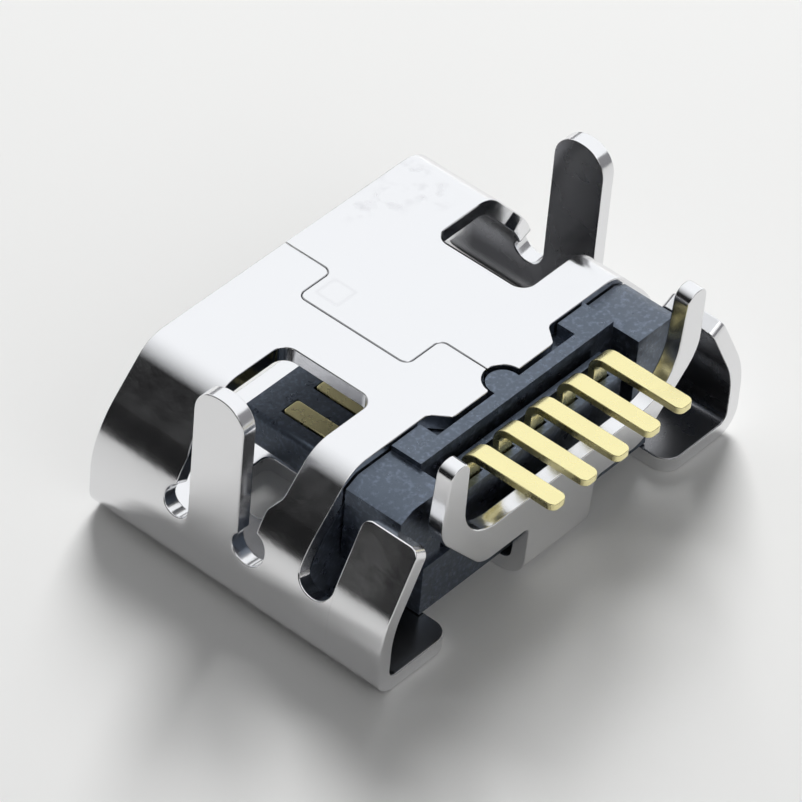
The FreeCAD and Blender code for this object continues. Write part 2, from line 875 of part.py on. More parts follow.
def build_contact(doc, number, label):
    """Strip that runs along the tongue, rises behind the core and ends in the solder tail."""
    body = new_body(doc, label)
    thickness = cell("contact_thickness")
    bend = cell("contact_bend_radius")
    tight = bend - thickness
    level = cell("contact_level")
    low = level - thickness
    riser = riser_front()
    riser_rear = riser + thickness
    tail = cell("shell_height") + cell("tail_rise")
    tail_low = tail - thickness
    profile = new_sketch(body, label + "Profile", "YZ_Plane")
    draw_outline(profile, [
        (cell("contact_front"), low),
        (riser_rear - bend, low, bend, 1),
        (riser_rear, low + bend),
        (riser_rear, tail_low - tight, tight, -1),
        (riser_rear + tight, tail_low),
        (tail_end(), tail_low),
        (tail_end(), tail),
        (riser + bend, tail, bend, 1),
        (riser, tail - bend),
        (riser, level + tight, tight, -1),
        (riser - tight, level),
        (cell("contact_front"), level),
    ])
    add_pad(body, label + "Strip", profile, cell("contact_width"), both_ways=True)
    half = cell("contact_width").value / 2
    round_edges(doc, body, label + "Tip", cell("tail_corner_radius"), lambda edge: any(
        upright_edge_at(edge, x, tail_end().value) for x in (half, -half)))
    place = contact_place(number)
    body.Placement = FreeCAD.Placement(FreeCAD.Vector(place.value, 0, 0), FreeCAD.Rotation())
    body.setExpression("Placement.Base.x", place.text)
    return body


def centre_on_base(body):
    """Put the middle of the whole depth at Y = 0."""
    shift = -tail_end() / 2
    place = body.Placement
    place.Base = FreeCAD.Vector(place.Base.x, shift.value, 0)
    body.Placement = place
    body.setExpression("Placement.Base.y", shift.text)


def check(doc, bodies):
    for item in doc.Objects:
        if "Invalid" in item.State or "Error" in item.State:
            raise RuntimeError("%s is %s" % (item.Name, item.State))
    for body in bodies:
        if body.Shape.isNull() or not body.Shape.isValid() or len(body.Shape.Solids) != 1:
            raise RuntimeError(body.Label + " is not one sound solid")


def main():
    doc = FreeCAD.newDocument("MicroSocket")
    make_sheet(doc)
    bodies = [build_shell(doc), build_housing(doc)]
    for number, label in enumerate(CONTACT_NAMES):
        bodies.append(build_contact(doc, number, label))
    for body in bodies:
        centre_on_base(body)
    doc.recompute()
    check(doc, bodies)
    os.makedirs("parts", exist_ok=True)
    for body in bodies:
        body.Shape.exportStep("parts/%s.step" % body.Label)
        box = body.Shape.BoundBox
        print("%-16s volume %.4f  x %.3f %.3f  y %.3f %.3f  z %.3f %.3f" % (
            body.Label, body.Shape.Volume, box.XMin, box.XMax, box.YMin, box.YMax, box.ZMin, box.ZMax))


main()
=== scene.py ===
import math

import bmesh
import bpy
from mathutils import Matrix, Vector


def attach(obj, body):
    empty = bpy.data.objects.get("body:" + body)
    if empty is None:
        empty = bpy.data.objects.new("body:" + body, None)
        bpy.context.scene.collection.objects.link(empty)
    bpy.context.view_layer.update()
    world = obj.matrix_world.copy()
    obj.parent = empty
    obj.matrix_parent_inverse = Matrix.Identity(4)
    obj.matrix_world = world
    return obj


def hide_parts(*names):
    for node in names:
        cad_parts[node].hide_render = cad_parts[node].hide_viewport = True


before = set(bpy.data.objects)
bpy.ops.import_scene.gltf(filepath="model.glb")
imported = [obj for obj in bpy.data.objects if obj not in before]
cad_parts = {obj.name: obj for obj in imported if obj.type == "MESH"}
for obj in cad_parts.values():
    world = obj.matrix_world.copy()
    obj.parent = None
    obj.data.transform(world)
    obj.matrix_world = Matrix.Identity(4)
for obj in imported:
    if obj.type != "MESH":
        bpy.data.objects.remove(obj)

# Lengths are millimetres until a mesh is finished, and y = 0 is the front edge of the mouth.
# The frame has the middle of the overall depth at y = 0, so MOUTH moves every piece there.
MM = 0.001
MOUTH = Vector((0, -2.96, 0))

# Folded shell
THICKNESS = 0.25
SHEET_EDGE = 0.022
WIDTH = 7.50
HEIGHT = 2.45
WALL = 0.717
SHOULDER_RADIUS = 0.66
SLOPE = math.radians(47.5)
FLANK_RADIUS = 1.54
CORNER_RADIUS = 0.40
TUBE_DEPTH = 3.59
PLATE_DEPTH = 3.86
PLATE_TAIL_HALF = 1.02
PLATE_STEP = 0.22
PLATE_CORNER = 0.12
NOTCH_RADIUS = 0.30
NOTCH_CENTRE = 3.86
NOTCH_CORNER = 0.05

SEAM_HALF_GAP = 0.006
SEAM_OFFSET = 0.69
SEAM_FIRST = 0.84
SEAM_SECOND = 2.76
SEAM_CORNER = 0.13

WINDOW_INNER = 1.52
WINDOW_FRONT = 1.34
WINDOW_REAR = 2.92
WINDOW_CORNER = 0.22
WINDOW_KINK = 0.20
WINDOW_DROP = WALL + 1.13
SLIT_TOP = WALL + 0.96
SLIT_FRONT = 1.40
SLIT_REAR = 2.79
RELIEF_HEIGHT = WALL + 0.41
FRONT_RELIEF = (1.50, 0.23)
REAR_RELIEF = (2.76, 0.255)
LEG_FRONT = 1.73
LEG_REAR = 2.59
LEG_HEIGHT = 3.40
LEG_TIP = 0.41
LEG_MARGIN = 0.12
LEG_SPARE = 0.20

LATCH_PLACE = 1.95
LATCH_HALF = 0.50
LATCH_FRONT = 1.15
LATCH_REAR = 1.95
LATCH_CORNER = 0.12

WING_START = 4.17
WING_END = 5.10
WING_FLOOR = WALL + 0.29
WING_TURN = math.radians(28.0)
WING_STRAIGHT = 0.95
WING_CORNER = 0.15
WING_FOOT_INNER = 2.25
WING_FOOT_RADIUS = 0.28

RELIEF_FRONT = 4.35
RELIEF_CORNER = 0.20
NECK_HALF = 0.68
NECK_MARGIN = 0.10
NECK_START = 4.61
NECK_BEND = 0.40
NECK_CORNER = 0.12
FLAP_LEAN = math.radians(2.0)
FLAP_BOTTOM = 1.02
FLAP_TOP = 1.65
FLAP_ZONE = 5.25
FLAP_FOOT = (1.663, 0.45)
HORN_CORNER = (2.66, 2.108, 0.70)
PIN_OUTER = 2.60
PIN_WIDTH = 0.38
PIN_HEIGHT = 3.30
PIN_TIP = 0.185
VALLEY = (2.16, 0.78)

# Contacts
PITCH = 0.65
CONTACT_COUNT = 5
CONTACT_HALF = 0.15
CONTACT_THICKNESS = 0.12
CONTACT_EDGE = 0.018
CONTACT_CORNER = 0.05
CONTACT_FRONT = 1.35
CONTACT_LOW = 1.08
CONTACT_RISER_REAR = 4.48
CONTACT_BEND = 0.25
TAIL_LOW = 2.38
TAIL_END = 5.92
TAIL_CORNER = 0.11

# How finely a sheet is divided, in degrees a step, and how far past a bend it is cut
CORNER_STEP = 9.0
WIDE_BEND_STEP = 3.0
TIGHT_BEND_STEP = 6.0
BEND_MARGIN = 0.01

# A face of a flat sheet is part of its rim below the first of these, and plainly flat from
# the second on, by the upward share of its normal
RIM_FACING = 0.98
FLAT_FACING = 0.999


def ahead_by(length, heading):
    return length * Vector((math.cos(heading), math.sin(heading)))


class Track:
    """Straight and round stretches laid end to end in a plane, found by the length walked."""

    def __init__(self, start, stretches):
        self.stretches = []
        point = Vector(start)
        heading = 0.0
        walked = 0.0
        for length, turn in stretches:
            self.stretches.append((walked, length, turn, point, heading))
            point = self.step(point, heading, length, turn, length)
            heading += turn
            walked += length
        self.length = walked

    @staticmethod
    def step(point, heading, length, turn, walked):
        if turn == 0:
            return point + ahead_by(walked, heading)
        radius = length / turn
        ahead = heading + turn * walked / length
        return point + radius * Vector((
            math.sin(ahead) - math.sin(heading), math.cos(heading) - math.cos(ahead)))

    def at(self, walked):
        """Point and heading after a length; past the ends the line goes straight on."""
        begin, length, turn, point, heading = self.stretches[0]
        for stretch in self.stretches:
            if walked >= stretch[0]:
                begin, length, turn, point, heading = stretch
        along = walked - begin
        if along > length:
            end = self.step(point, heading, length, turn, length)
            heading += turn
            return end + ahead_by(along - length, heading), heading
        if along < 0:
            return point + ahead_by(along, heading), heading
        return self.step(point, heading, length, turn, along), heading + turn * along / length


def straight(length):
    return (length, 0.0)


def bend(radius, turn):
    return (radius * abs(turn), turn)


def arc(centre, radius, first, last, steps=14):
    """Points on a circle; angle 0 points along v, a quarter turn points along u."""
    points = []
    for number in range(steps + 1):
        angle = math.radians(first + (last - first) * number / steps)
        u = centre[0] + radius * math.sin(angle)
        v = centre[1] + radius * math.cos(angle)
        points.append((u, v, 0.0))
    return points


def rounded(corners):
    """Closed outline through corners (u, v, radius), as plain points."""
    points = []
    count = len(corners)
    for number, (u, v, radius) in enumerate(corners):
        here = Vector((u, v))
        if radius <= 0:
            points.append(here)
            continue
        back = (Vector(corners[number - 1][:2]) - here).normalized()
        ahead = (Vector(corners[(number + 1) % count][:2]) - here).normalized()
        opening = back.angle(ahead)
        reach = radius / math.tan(opening / 2)
        centre = here + (back + ahead).normalized() * radius / math.sin(opening / 2)
        first = here + back * reach - centre
        last = here + ahead * reach - centre
        sweep = first.angle_signed(last)
        steps = max(3, math.ceil(abs(sweep) / math.radians(CORNER_STEP)))
        for step in range(steps + 1):
            turn = Matrix.Rotation(-sweep * step / steps, 2)
            points.append(centre + turn @ first)
    return points


def flat_sheet(name, outlines, thickness, edge):
    """Closed flat sheet between outlines, with rounded edges, as a bmesh."""
    curve = bpy.data.curves.new(name, "CURVE")
    curve.dimensions = "2D"
    curve.fill_mode = "BOTH"
    curve.extrude = thickness / 2 - edge
    curve.bevel_depth = edge
    curve.bevel_resolution = 2
    curve.offset = -edge
    for points in outlines:
        spline = curve.splines.new("POLY")
        spline.points.add(len(points) - 1)
        for target, point in zip(spline.points, points):
            target.co = (point[0], point[1], 0, 1)
        spline.use_cyclic_u = True
    holder = bpy.data.objects.new(name, curve)
    mesh = bpy.data.meshes.new_from_object(holder)
    sheet = bmesh.new()
    sheet.from_mesh(mesh)
    bmesh.ops.remove_doubles(sheet, verts=sheet.verts, dist=1e-4)
    bpy.data.objects.remove(holder)
    bpy.data.curves.remove(curve)
    bpy.data.meshes.remove(mesh)
    return sheet


def cut(sheet, places, across):
    """Add edges across the sheet wherever it is going to bend."""
    for place in places:
        everything = sheet.verts[:] + sheet.edges[:] + sheet.faces[:]
        bmesh.ops.bisect_plane(
            sheet, geom=everything, dist=1e-5, plane_co=across * place, plane_no=across)


def rim_directions(sheet):
    """Direction away from the sheet in its own plane, for each vertex on its rim."""
    outward = {}
    for vertex in sheet.verts:
        total = Vector((0, 0, 0))
        for face in vertex.link_faces:
            if abs(face.normal.z) < RIM_FACING:
                total += Vector((face.normal.x, face.normal.y, 0)).normalized()
        outward[vertex.index] = total.normalized() if total.length > 0 else total
    return outward


def fold(name, sheet, thickness, edge, place):
    """Finish a flat sheet: place(u, v) gives the point and the frame of each spot after bending.

    The attribute "inside" is 1 on the side of the sheet that ends up within the part.
    """
    sheet.normal_update()
    core = thickness / 2 - edge
    outward = rim_directions(sheet)
    frames = {}
    for vertex in sheet.verts:
        frames[vertex.index] = place(vertex.co.x, vertex.co.y)
    normals = []
    inside = sheet.faces.layers.float.new("inside")
    for face in sheet.faces:
        face.smooth = True
        face[inside] = 1.0 if face.normal.z > 0.5 else 0.0
        for corner in face.loops:
            vertex = corner.vert
            if abs(face.normal.z) >= FLAT_FACING:
                flat = Vector((0, 0, math.copysign(1, face.normal.z)))
            else:
                rise = min(1.0, max(0.0, (abs(vertex.co.z) - core) / edge))
                side = outward[vertex.index] * math.sqrt(1 - rise * rise)
                flat = Vector((side.x, side.y, math.copysign(rise, vertex.co.z)))
            point, along_u, along_v, inward = frames[vertex.index]
            normals.append((flat.x * along_u + flat.y * along_v + flat.z * inward).normalized())
    for vertex in sheet.verts:
        point, along_u, along_v, inward = frames[vertex.index]
        vertex.co = (point + inward * (vertex.co.z + thickness / 2) + MOUTH) * MM
    mesh = bpy.data.meshes.new(name)
    sheet.to_mesh(mesh)
    sheet.free()
    mesh.normals_split_custom_set(normals)
    return mesh


def new_piece(name, mesh):
    piece = bpy.data.objects.new(name, mesh)
    bpy.context.scene.collection.objects.link(piece)
    return piece


# Section of the shell, walked from the middle of the wide plate over one side wall
FLANK_X = WIDTH / 2 - FLANK_RADIUS
SLOPE_DROP = (HEIGHT - SHOULDER_RADIUS - WALL
              - math.cos(SLOPE) * (FLANK_RADIUS - SHOULDER_RADIUS))
SHOULDER_X = (FLANK_X + math.sin(SLOPE) * (FLANK_RADIUS - SHOULDER_RADIUS)
              - SLOPE_DROP / math.tan(SLOPE))
FOOT = [
    straight(WIDTH / 2 - CORNER_RADIUS),
    bend(CORNER_RADIUS, math.pi / 2),
    straight(WALL - CORNER_RADIUS),
]
BODY_TRACK = Track((0, 0), FOOT + [
    bend(FLANK_RADIUS, math.pi / 2 - SLOPE),
    straight(SLOPE_DROP / math.sin(SLOPE)),
    bend(SHOULDER_RADIUS, SLOPE),
    straight(SHOULDER_X),
])
WING_TRACK = Track((0, 0), FOOT + [bend(FLANK_RADIUS, WING_TURN), straight(WING_STRAIGHT)])
LEG_TRACK = Track((0, 0), FOOT)
NECK_TRACK = Track((0, 0), [straight(NECK_START), bend(NECK_BEND, math.pi / 2 - FLAP_LEAN)])
WALL_TOP = LEG_TRACK.length
SEAM_LINE = BODY_TRACK.length
LEG_LIMIT = WALL_TOP + LEG_HEIGHT - WALL + LEG_SPARE
FLAP_START = NECK_TRACK.length


def on_flank(z):
    """Length walked to a height on the round flank."""
    return WALL_TOP + FLANK_RADIUS * math.asin((z - WALL) / FLANK_RADIUS)


def on_flap(z):
    """Length walked to a height on the rear flap."""
    return FLAP_START + z - NECK_BEND


def place_on_shell(u, v):
    """Where a spot of the flat sheet goes, with the directions of u, v and the inner side.

    Beside a leg the sheet eases from upright to the flank over LEG_MARGIN.
    """
    reach = abs(u)
    side = 1 if u >= 0 else -1
    if v > FLAP_ZONE or (reach < NECK_HALF + NECK_MARGIN and v > NECK_START):
        (y, z), heading = NECK_TRACK.at(v)
        return (Vector((u, y, z)), Vector((1, 0, 0)),
                Vector((0, math.cos(heading), math.sin(heading))),
                Vector((0, -math.sin(heading), math.cos(heading))))
    track = WING_TRACK if v > (TUBE_DEPTH + WING_START) / 2 else BODY_TRACK
    (x, z), heading = track.at(reach)
    if WALL_TOP < reach < LEG_LIMIT:
        outside = max(LEG_FRONT - v, v - LEG_REAR, 0.0)
        share = max(0.0, 1 - outside / LEG_MARGIN)
        if share > 0:
            (leg_x, leg_z), leg_heading = LEG_TRACK.at(reach)
            x += (leg_x - x) * share
            z += (leg_z - z) * share
            heading += (leg_heading - heading) * share
    return (Vector((side * x, v, z)),
            Vector((math.cos(heading), 0, side * math.sin(heading))),
            Vector((0, 1, 0)),
            Vector((-side * math.sin(heading), 0, math.cos(heading))))


def seam_edge(side):
    """Edge of the narrow plate along the puzzle seam, from the mouth to the key notch."""
    gap = SEAM_HALF_GAP * side
    tight = SEAM_CORNER - gap
    wide = SEAM_CORNER + gap
    start = math.degrees(math.acos(SEAM_HALF_GAP / NOTCH_RADIUS))
    corners = [
        (gap, 0.0, 0.0),
        (gap, SEAM_FIRST - gap, tight),
        (SEAM_OFFSET + gap, SEAM_FIRST - gap, wide),
        (SEAM_OFFSET + gap, SEAM_SECOND + gap, wide),
        (gap, SEAM_SECOND + gap, tight),
    ]
    steps = 8
    for number in range(steps):
        angle = math.radians(start * (1 - number / steps))
        x = side * NOTCH_RADIUS * math.cos(angle)
        y = NOTCH_CENTRE - NOTCH_RADIUS * math.sin(angle)
        corners.append((x, y, 0.0))
    return corners


def shell_half(side):
    """Outline of one half of the sheet, from the mouth at the seam to the middle of the flap."""
    corners = [(SEAM_LINE - side * x, y, radius) for x, y, radius in seam_edge(side)]
    slot_radius = (WING_START - TUBE_DEPTH) / 2
    slot_centre = (on_flank(WING_FLOOR + slot_radius), TUBE_DEPTH + slot_radius)
    wing_top = WING_TRACK.length
    corners += [
        (SEAM_LINE - NOTCH_RADIUS, PLATE_DEPTH, NOTCH_CORNER),
        (SEAM_LINE - PLATE_TAIL_HALF, PLATE_DEPTH, PLATE_CORNER),
        (SEAM_LINE - PLATE_TAIL_HALF - PLATE_STEP, TUBE_DEPTH, PLATE_CORNER),
    ]
    corners += arc(slot_centre, slot_radius, 180, 360)
    foot_x, foot_radius = FLAP_FOOT
    horn_x, horn_z, horn_radius = HORN_CORNER
    valley_x, valley_radius = VALLEY
    corners += [
        (wing_top, WING_START, WING_CORNER),
        (wing_top, WING_END, WING_CORNER),
        (WING_FOOT_INNER, WING_END, WING_FOOT_RADIUS),
        (WING_FOOT_INNER, RELIEF_FRONT, RELIEF_CORNER),
        (NECK_HALF, RELIEF_FRONT, RELIEF_CORNER),
        (NECK_HALF, on_flap(FLAP_BOTTOM), NECK_CORNER),
        (foot_x, on_flap(FLAP_BOTTOM), foot_radius),
        (horn_x, on_flap(horn_z), horn_radius),
        (PIN_OUTER, on_flap(PIN_HEIGHT), PIN_TIP),
        (PIN_OUTER - PIN_WIDTH, on_flap(PIN_HEIGHT), PIN_TIP),
        (valley_x, on_flap(FLAP_TOP), valley_radius),
    ]
    return [(side * u, v, radius) for u, v, radius in corners]


def window_hole(side):
    """Window and slits around the front leg, which still lies flat in it."""
    relief = on_flank(RELIEF_HEIGHT)
    tip = WALL_TOP + LEG_HEIGHT - WALL
    inner = SEAM_LINE - WINDOW_INNER
    front, front_radius = FRONT_RELIEF
    rear, rear_radius = REAR_RELIEF
    enter_front = math.degrees(math.acos((SLIT_FRONT - front) / front_radius))
    enter_rear = math.degrees(math.acos((LEG_REAR - rear) / rear_radius))
    leave_rear = 360 + math.degrees(math.acos((SLIT_REAR - rear) / rear_radius))
    corners = [
        (inner, WINDOW_FRONT, WINDOW_CORNER),
        (on_flank(WINDOW_DROP), WINDOW_FRONT, WINDOW_KINK),
        (on_flank(SLIT_TOP), SLIT_FRONT, WINDOW_KINK),
    ]
    corners += arc((relief, front), front_radius, enter_front, 360, 18)
    corners += [
        (tip, LEG_FRONT, LEG_TIP),
        (tip, LEG_REAR, LEG_TIP),
    ]
    corners += arc((relief, rear), rear_radius, enter_rear, leave_rear, 22)
    corners += [
        (on_flank(SLIT_TOP), SLIT_REAR, WINDOW_KINK),
        (on_flank(WINDOW_DROP), WINDOW_REAR, WINDOW_KINK),
        (inner, WINDOW_REAR, WINDOW_CORNER),
    ]
    return [(side * u, v, radius) for u, v, radius in corners]


def latch_hole(side):
    """Opening in the wide plate for the plug's latch."""
    return [
        (side * (LATCH_PLACE - LATCH_HALF), LATCH_FRONT, LATCH_CORNER),
        (side * (LATCH_PLACE + LATCH_HALF), LATCH_FRONT, LATCH_CORNER),
        (side * (LATCH_PLACE + LATCH_HALF), LATCH_REAR, LATCH_CORNER),
        (side * (LATCH_PLACE - LATCH_HALF), LATCH_REAR, LATCH_CORNER),
    ]


def bend_places(track, step):
    """Lengths at which a sheet on this track has to be cut to bend smoothly."""
    places = []
    for begin, length, turn in (stretch[:3] for stretch in track.stretches):
        if turn == 0:
            continue
        count = math.ceil(abs(math.degrees(turn)) / step)
        places += [begin + length * number / count for number in range(count + 1)]
        places += [begin - BEND_MARGIN, begin + length + BEND_MARGIN]
    return sorted(places)


def build_shell():
    """Flat sheet with its windows and latch openings, folded into the shell."""
    outlines = [rounded(shell_half(1) + shell_half(-1)[::-1])]
    for side in (1, -1):
        outlines.append(rounded(window_hole(side)))
        outlines.append(rounded(latch_hole(side)))
    sheet = flat_sheet("shell_flat", outlines, THICKNESS, SHEET_EDGE)
    across = bend_places(BODY_TRACK, WIDE_BEND_STEP) + [WALL_TOP + FLANK_RADIUS * WING_TURN]
    cut(sheet, [side * place for side in (1, -1) for place in across], Vector((1, 0, 0)))
    cut(sheet, bend_places(NECK_TRACK, TIGHT_BEND_STEP), Vector((0, 1, 0)))
    cut(sheet, [LEG_FRONT - LEG_MARGIN, LEG_REAR + LEG_MARGIN], Vector((0, 1, 0)))
    mesh = fold("shell_skin", sheet, THICKNESS, SHEET_EDGE, place_on_shell)
    piece = new_piece("shell_skin", mesh)
    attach(piece, "root")
    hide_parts("shell")
    return piece


# Line of a contact, from its front end on the tongue to the end of its solder tail
CONTACT_TRACK = Track((CONTACT_FRONT, CONTACT_LOW), [
    straight(CONTACT_RISER_REAR - CONTACT_BEND - CONTACT_FRONT),
    bend(CONTACT_BEND, math.pi / 2),
    straight(TAIL_LOW - CONTACT_LOW - 2 * CONTACT_BEND + CONTACT_THICKNESS),
    bend(CONTACT_BEND - CONTACT_THICKNESS, -math.pi / 2),
    straight(TAIL_END - CONTACT_RISER_REAR - CONTACT_BEND + CONTACT_THICKNESS),
])


def place_on_contact(u, v):
    """Where a spot of the flat strip goes, with the directions of u, v and the upper side."""
    (y, z), heading = CONTACT_TRACK.at(v)
    return (Vector((u, y, z)), Vector((1, 0, 0)),
            Vector((0, math.cos(heading), math.sin(heading))),
            Vector((0, -math.sin(heading), math.cos(heading))))


def contact_mesh():
    """One bent strip in the middle of the row."""
    end = CONTACT_TRACK.length
    corners = [
        (-CONTACT_HALF, 0.0, CONTACT_CORNER),
        (CONTACT_HALF, 0.0, CONTACT_CORNER),
        (CONTACT_HALF, end, TAIL_CORNER),
        (-CONTACT_HALF, end, TAIL_CORNER),
    ]
    sheet = flat_sheet("contact_flat", [rounded(corners)], CONTACT_THICKNESS, CONTACT_EDGE)
    cut(sheet, bend_places(CONTACT_TRACK, TIGHT_BEND_STEP), Vector((0, 1, 0)))
    return fold("contact", sheet, CONTACT_THICKNESS, CONTACT_EDGE, place_on_contact)


def repeat_tree(name, source, material):
    """Node tree that sets copies of a source object at equal steps along X."""
    tree = bpy.data.node_groups.new(name, "GeometryNodeTree")
    tree.interface.new_socket("Count", in_out="INPUT", socket_type="NodeSocketInt")
    tree.interface.new_socket("Pitch", in_out="INPUT", socket_type="NodeSocketFloat")
    tree.interface.new_socket("Geometry", in_out="OUTPUT", socket_type="NodeSocketGeometry")
    nodes, links = tree.nodes, tree.links
    given = nodes.new("NodeGroupInput")
    result = nodes.new("NodeGroupOutput")
    line = nodes.new("GeometryNodeMeshLine")
    info = nodes.new("GeometryNodeObjectInfo")
    info.inputs["Object"].default_value = source
    step = nodes.new("ShaderNodeCombineXYZ")
    first = nodes.new("ShaderNodeCombineXYZ")
    less = combine(tree, "SUBTRACT", 1.0, given.outputs["Count"])
    span = combine(tree, "MULTIPLY", less, given.outputs["Pitch"])
    links.new(given.outputs["Count"], line.inputs["Count"])
    links.new(combine(tree, "MULTIPLY", span, 0.5), first.inputs["X"])
    links.new(given.outputs["Pitch"], step.inputs["X"])
    links.new(first.outputs[0], line.inputs["Start Location"])
    links.new(step.outputs[0], line.inputs["Offset"])
    copies = nodes.new("GeometryNodeInstanceOnPoints")
    links.new(line.outputs["Mesh"], copies.inputs["Points"])
    links.new(info.outputs["Geometry"], copies.inputs["Instance"])
    real = nodes.new("GeometryNodeRealizeInstances")
    paint = nodes.new("GeometryNodeSetMaterial")
    paint.inputs["Material"].default_value = material
    links.new(copies.outputs["Instances"], real.inputs["Geometry"])
    links.new(real.outputs["Geometry"], paint.inputs["Geometry"])
    links.new(paint.outputs["Geometry"], result.inputs["Geometry"])
    return tree


def set_input(modifier, label, value):
    """Set a modifier's input by its label, through the identifier of its socket."""
    for item in modifier.node_group.interface.items_tree:
        if item.name == label and item.in_out == "INPUT":
            modifier[item.identifier] = value


def build_contacts(material):
    """The five contacts as one piece, repeated from one strip."""
    source = new_piece("contact_source", contact_mesh())
    host = new_piece("contact_host", bpy.data.meshes.new("contact_host"))
    modifier = host.modifiers.new("row", "NODES")
    modifier.node_group = repeat_tree("contact_row", source, material)
    set_input(modifier, "Count", CONTACT_COUNT)
    set_input(modifier, "Pitch", PITCH * MM)
    bpy.context.view_layer.update()
    evaluated = host.evaluated_get(bpy.context.evaluated_depsgraph_get())
    mesh = bpy.data.meshes.new_from_object(evaluated)
    mesh.name = "contact_row"
    host.modifiers.remove(modifier)
    bpy.data.objects.remove(host)
    bpy.data.objects.remove(source)
    piece = new_piece("contact_row", mesh)
    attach(piece, "root")
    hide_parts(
        "contact_vbus", "contact_d_minus", "contact_d_plus", "contact_id", "contact_gnd")
    return piece


MOULD_EDGE = 0.025


def build_housing():
    """Copy of the moulding with softened edges."""
    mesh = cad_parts["housing"].data.copy()
    solid = bmesh.new()
    solid.from_mesh(mesh)
    bmesh.ops.remove_doubles(solid, verts=solid.verts, dist=1e-7)
    bmesh.ops.dissolve_limit(
        solid, angle_limit=math.radians(0.5), verts=solid.verts, edges=solid.edges)
    solid.to_mesh(mesh)
    solid.free()
    if mesh.has_custom_normals:
        mesh.attributes.remove(mesh.attributes["custom_normal"])
    piece = new_piece("housing_skin", mesh)
    soften = piece.modifiers.new("soften", "BEVEL")
    soften.limit_method = "ANGLE"
    soften.angle_limit = math.radians(30)
    soften.width = MOULD_EDGE * MM
    soften.segments = 2
    soften.use_clamp_overlap = True
    soften.harden_normals = True
    for face in mesh.polygons:
        face.use_smooth = True
    bpy.context.view_layer.update()
    evaluated = piece.evaluated_get(bpy.context.evaluated_depsgraph_get())
    finished = bpy.data.meshes.new_from_object(evaluated)
    piece.modifiers.remove(soften)
    piece.data = finished
    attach(piece, "root")
    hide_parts("housing")
    return piece


# Materials
STEEL = (0.80, 0.80, 0.81)
SCUFFED_STEEL = (0.56, 0.55, 0.57)
# painted shade: the dark steel colour that the inner side of the sheet is mixed towards
SHADED_STEEL = (0.14, 0.14, 0.15)
PLASTIC = (0.010, 0.011, 0.016)
PALE_GRAIN = (0.075, 0.088, 0.125)
PLASTIC_SHEEN = (0.66, 0.80, 1.0, 1)
GOLD = (0.86, 0.78, 0.42)

# Marks on the narrow plate: the heights between which they fade in, the scuffs near the mouth
# with how far each one reaches, and the faint square beside the seam
PLATE_HEIGHTS = (2.40, 2.44)
SCUFFS = [((-2.25, 0.25), 0.55), ((-1.71, 0.42), 0.42), ((-2.15, 0.75), 0.40), ((-1.2, 0.15), 0.40)]
SQUARE_CENTRE = (0.28, 1.16)
SQUARE_HALF = 0.19
SQUARE_LINE = 0.045


def new_material(name, color, metallic, roughness):
    """Material with one plain finish, and its shader."""
    material = bpy.data.materials.new(name)
    material.use_nodes = True
    shader = material.node_tree.nodes["Principled BSDF"]
    shader.inputs["Base Color"].default_value = (*color, 1)
    shader.inputs["Metallic"].default_value = metallic
    shader.inputs["Roughness"].default_value = roughness
    shader.inputs["Specular IOR Level"].default_value = 0.5
    return material, shader


def millimetre_coordinates(tree):
    """Object coordinates in millimetres."""
    place = tree.nodes.new("ShaderNodeTexCoord")
    scale = tree.nodes.new("ShaderNodeMapping")
    scale.inputs["Scale"].default_value = (1000, 1000, 1000)
    tree.links.new(place.outputs["Object"], scale.inputs["Vector"])
    return scale.outputs["Vector"]


def noise(tree, vector, scale, detail):
    """Noise with about this many lumps to a millimetre."""
    node = tree.nodes.new("ShaderNodeTexNoise")
    node.inputs["Scale"].default_value = scale
    node.inputs["Detail"].default_value = detail
    tree.links.new(vector, node.inputs["Vector"])
    return node.outputs["Fac"]


def spread(tree, value, low, high, from_low=0.35, from_high=0.65):
    """Stretch a value from one range to another; a noise lies mostly between 0.35 and 0.65."""
    node = tree.nodes.new("ShaderNodeMapRange")
    node.inputs["From Min"].default_value = from_low
    node.inputs["From Max"].default_value = from_high
    node.inputs["To Min"].default_value = low
    node.inputs["To Max"].default_value = high
    tree.links.new(value, node.inputs["Value"])
    return node.outputs["Result"]


def color_mix(tree, share, first, second):
    """Blend of two colours, each plain or the output of a node."""
    node = tree.nodes.new("ShaderNodeMix")
    node.data_type = "RGBA"
    tree.links.new(share, node.inputs[0])
    for socket, color in ((node.inputs[6], first), (node.inputs[7], second)):
        if isinstance(color, tuple):
            socket.default_value = (*color, 1)
        else:
            tree.links.new(color, socket)
    return node.outputs[2]


def add_bump(tree, shader, height, strength, distance):
    """Fine relief of the surface, its distance in metres."""
    node = tree.nodes.new("ShaderNodeBump")
    node.inputs["Strength"].default_value = strength
    node.inputs["Distance"].default_value = distance
    tree.links.new(height, node.inputs["Height"])
    tree.links.new(node.outputs["Normal"], shader.inputs["Normal"])


def near_point(tree, parts, centre, reach):
    """One at a place on the narrow plate, fading to zero at a distance; lengths in millimetres."""
    flat = tree.nodes.new("ShaderNodeCombineXYZ")
    tree.links.new(parts.outputs["X"], flat.inputs["X"])
    tree.links.new(parts.outputs["Y"], flat.inputs["Y"])
    gap = tree.nodes.new("ShaderNodeVectorMath")
    gap.operation = "DISTANCE"
    gap.inputs[1].default_value = (centre[0] + MOUTH.x, centre[1] + MOUTH.y, 0)
    tree.links.new(flat.outputs["Vector"], gap.inputs[0])
    return spread(tree, gap.outputs["Value"], 1.0, 0.0, 0.0, reach)


def combine(tree, operation, first, second):
    """Sum, product or the like of two values, each a plain number or the output of a node."""
    node = tree.nodes.new("ShaderNodeMath")
    node.operation = operation
    for socket, value in ((node.inputs[0], first), (node.inputs[1], second)):
        if isinstance(value, float):
            socket.default_value = value
        else:
            tree.links.new(value, socket)
    return node.outputs[0]


